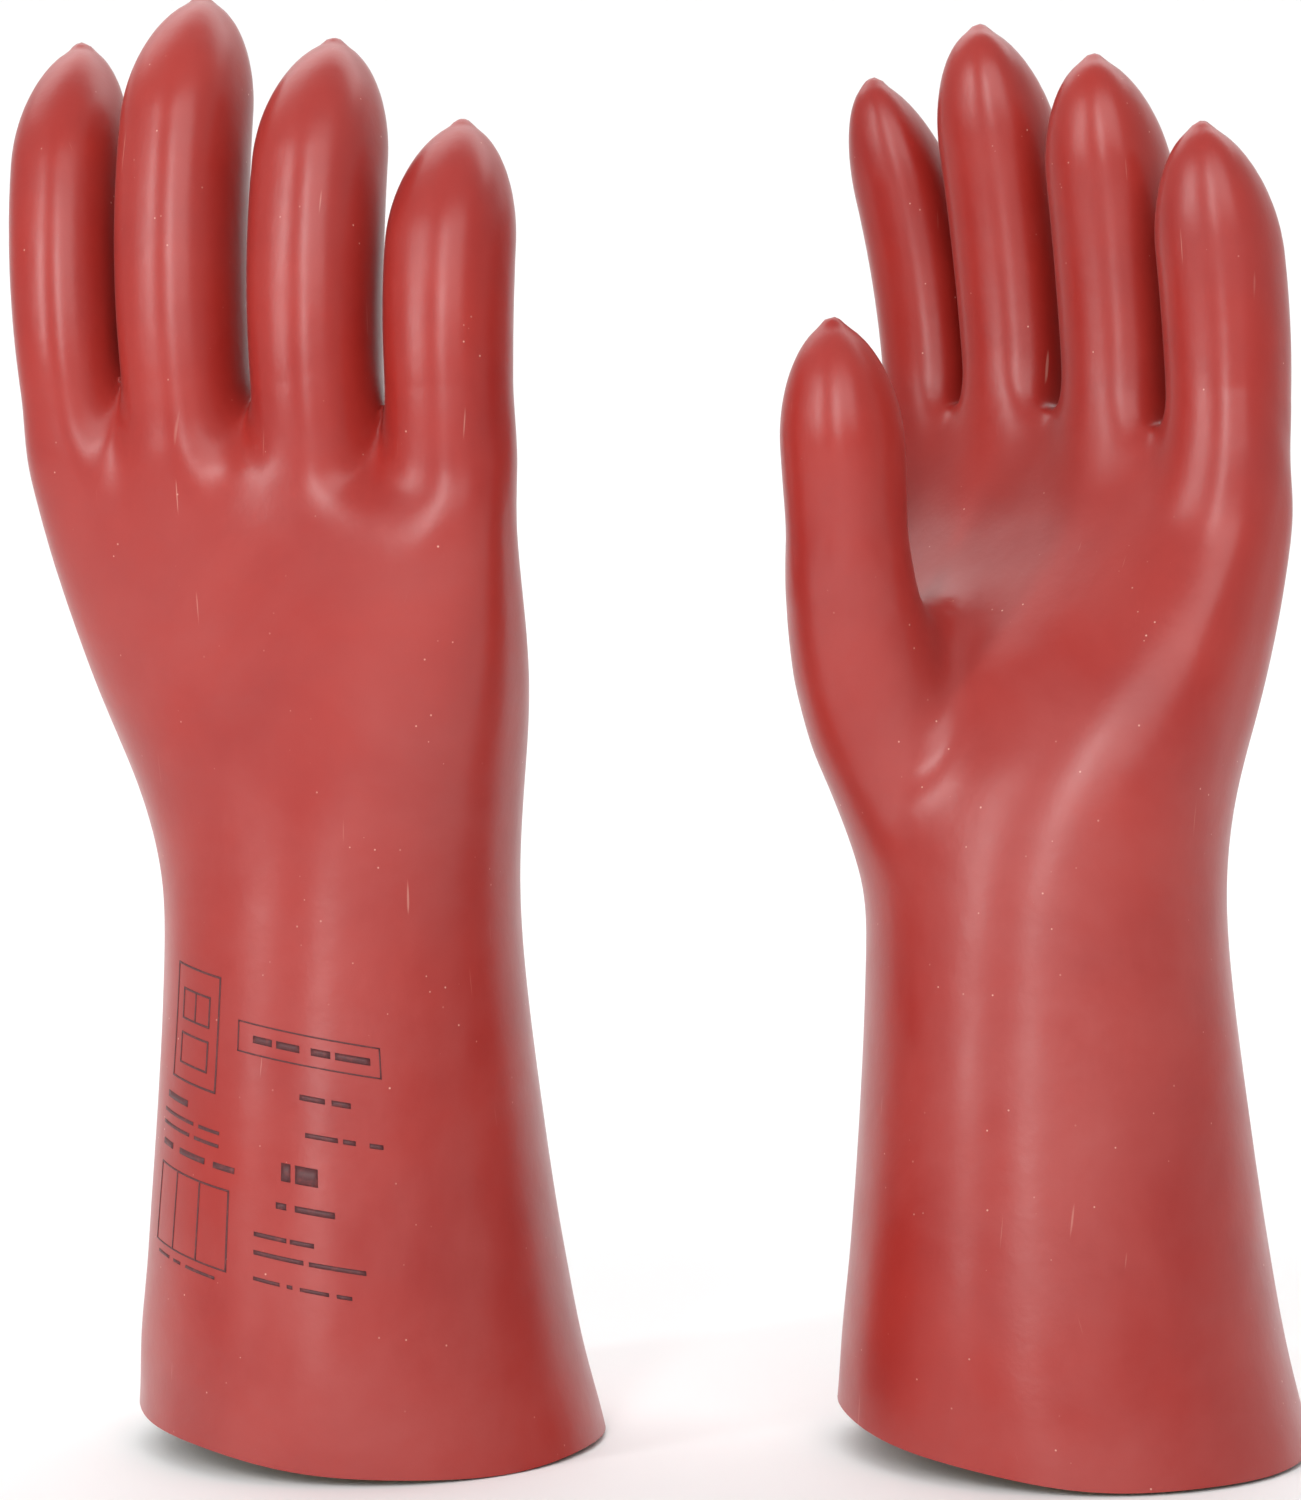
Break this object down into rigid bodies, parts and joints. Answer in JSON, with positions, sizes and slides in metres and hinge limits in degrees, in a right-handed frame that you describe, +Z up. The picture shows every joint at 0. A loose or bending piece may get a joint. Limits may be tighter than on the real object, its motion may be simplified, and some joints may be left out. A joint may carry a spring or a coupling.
{
  "type": "electrical insulating gloves",
  "caption": "Pair of long red rubber insulating gauntlets with a pale inner layer, standing on their open cuffs, with fingers, thumbs and wrists that bend.",
  "frame": {"origin": "on the surface the gloves stand on, under the middle of the pair's bounding box", "axes": "+Z up from the open rims to the fingertips, +X from the right-hand glove to the left-hand glove, -Y towards the side from which one glove shows its back and the other its palm"},
  "size_m": [0.3192, 0.1423, 0.3561],
  "materials": {
    "red_rubber": "satin",
    "cream_rubber": "matt",
    "ink": "matt"
  },
  "bodies": {
    "right_cuff": {"right_cuff_outer": "red_rubber", "right_cuff_liner": "cream_rubber", "right_marking": "ink"},
    "right_hand": {"right_hand_outer": "red_rubber", "right_hand_liner": "cream_rubber"},
    "right_thumb": {"right_thumb_outer": "red_rubber", "right_thumb_liner": "cream_rubber"},
    "right_index": {"right_index_outer": "red_rubber", "right_index_liner": "cream_rubber"},
    "right_middle": {"right_middle_outer": "red_rubber", "right_middle_liner": "cream_rubber"},
    "right_ring": {"right_ring_outer": "red_rubber", "right_ring_liner": "cream_rubber"},
    "right_little": {"right_little_outer": "red_rubber", "right_little_liner": "cream_rubber"},
    "left_cuff": {"left_cuff_outer": "red_rubber", "left_cuff_liner": "cream_rubber", "left_marking": "ink"},
    "left_hand": {"left_hand_outer": "red_rubber", "left_hand_liner": "cream_rubber"},
    "left_thumb": {"left_thumb_outer": "red_rubber", "left_thumb_liner": "cream_rubber"},
    "left_index": {"left_index_outer": "red_rubber", "left_index_liner": "cream_rubber"},
    "left_middle": {"left_middle_outer": "red_rubber", "left_middle_liner": "cream_rubber"},
    "left_ring": {"left_ring_outer": "red_rubber", "left_ring_liner": "cream_rubber"},
    "left_little": {"left_little_outer": "red_rubber", "left_little_liner": "cream_rubber"}
  },
  "joints": [
    {"name": "right_wrist_bend", "type": "hinge", "parent": "right_cuff", "child": "right_hand", "pos_m": [-0.07853, -0.00045, 0.136], "axis": [-0.8988, 0.4384, 0], "range_deg": [-20, 20], "stiffness_Nm_per_rad": 4},
    {"name": "right_thumb_bend", "type": "hinge", "parent": "right_hand", "child": "right_thumb", "pos_m": [-0.08709, 0.05157, 0.222], "axis": [0.4196, 0.8893, -0.1818], "range_deg": [-15, 35], "stiffness_Nm_per_rad": 0.4},
    {"name": "right_index_bend", "type": "hinge", "parent": "right_hand", "child": "right_index", "pos_m": [-0.14214, -0.01226, 0.258], "axis": [-0.8966, 0.4373, -0.0698], "range_deg": [-10, 55], "stiffness_Nm_per_rad": 0.4},
    {"name": "right_middle_bend", "type": "hinge", "parent": "right_hand", "child": "right_middle", "pos_m": [-0.1141, -0.02093, 0.258], "axis": [-0.8966, 0.4373, -0.0698], "range_deg": [-10, 55], "stiffness_Nm_per_rad": 0.4},
    {"name": "right_ring_bend", "type": "hinge", "parent": "right_hand", "child": "right_ring", "pos_m": [-0.08182, -0.02889, 0.258], "axis": [-0.8982, 0.4381, -0.0349], "range_deg": [-10, 55], "stiffness_Nm_per_rad": 0.4},
    {"name": "right_little_bend", "type": "hinge", "parent": "right_hand", "child": "right_little", "pos_m": [-0.04979, -0.03505, 0.256], "axis": [-0.8982, 0.4381, -0.0349], "range_deg": [-10, 55], "stiffness_Nm_per_rad": 0.4},
    {"name": "left_glove_apart", "type": "slide", "parent": "right_cuff", "child": "left_cuff", "axis": [1, 0, 0], "range_m": [0, 0.15]},
    {"name": "left_wrist_bend", "type": "hinge", "parent": "left_cuff", "child": "left_hand", "pos_m": [0.0952, -0.00752, 0.136], "axis": [0.8191, -0.5736, 0], "range_deg": [-20, 20], "stiffness_Nm_per_rad": 4},
    {"name": "left_thumb_bend", "type": "hinge", "parent": "left_hand", "child": "left_thumb", "pos_m": [0.04555, -0.02525, 0.222], "axis": [0.5744, 0.7981, 0.1818], "range_deg": [-15, 35], "stiffness_Nm_per_rad": 0.4},
    {"name": "left_index_bend", "type": "hinge", "parent": "left_hand", "child": "left_index", "pos_m": [0.07469, 0.05384, 0.258], "axis": [0.8172, -0.5722, 0.0698], "range_deg": [-10, 55], "stiffness_Nm_per_rad": 0.4},
    {"name": "left_middle_bend", "type": "hinge", "parent": "left_hand", "child": "left_middle", "pos_m": [0.09586, 0.03352, 0.258], "axis": [0.8172, -0.5722, 0.0698], "range_deg": [-10, 55], "stiffness_Nm_per_rad": 0.4},
    {"name": "left_ring_bend", "type": "hinge", "parent": "left_hand", "child": "left_ring", "pos_m": [0.11847, 0.00915, 0.258], "axis": [0.8187, -0.5732, 0.0349], "range_deg": [-10, 55], "stiffness_Nm_per_rad": 0.4},
    {"name": "left_little_bend", "type": "hinge", "parent": "left_hand", "child": "left_little", "pos_m": [0.1394, -0.01588, 0.256], "axis": [0.8187, -0.5732, 0.0349], "range_deg": [-10, 55], "stiffness_Nm_per_rad": 0.4}
  ]
}
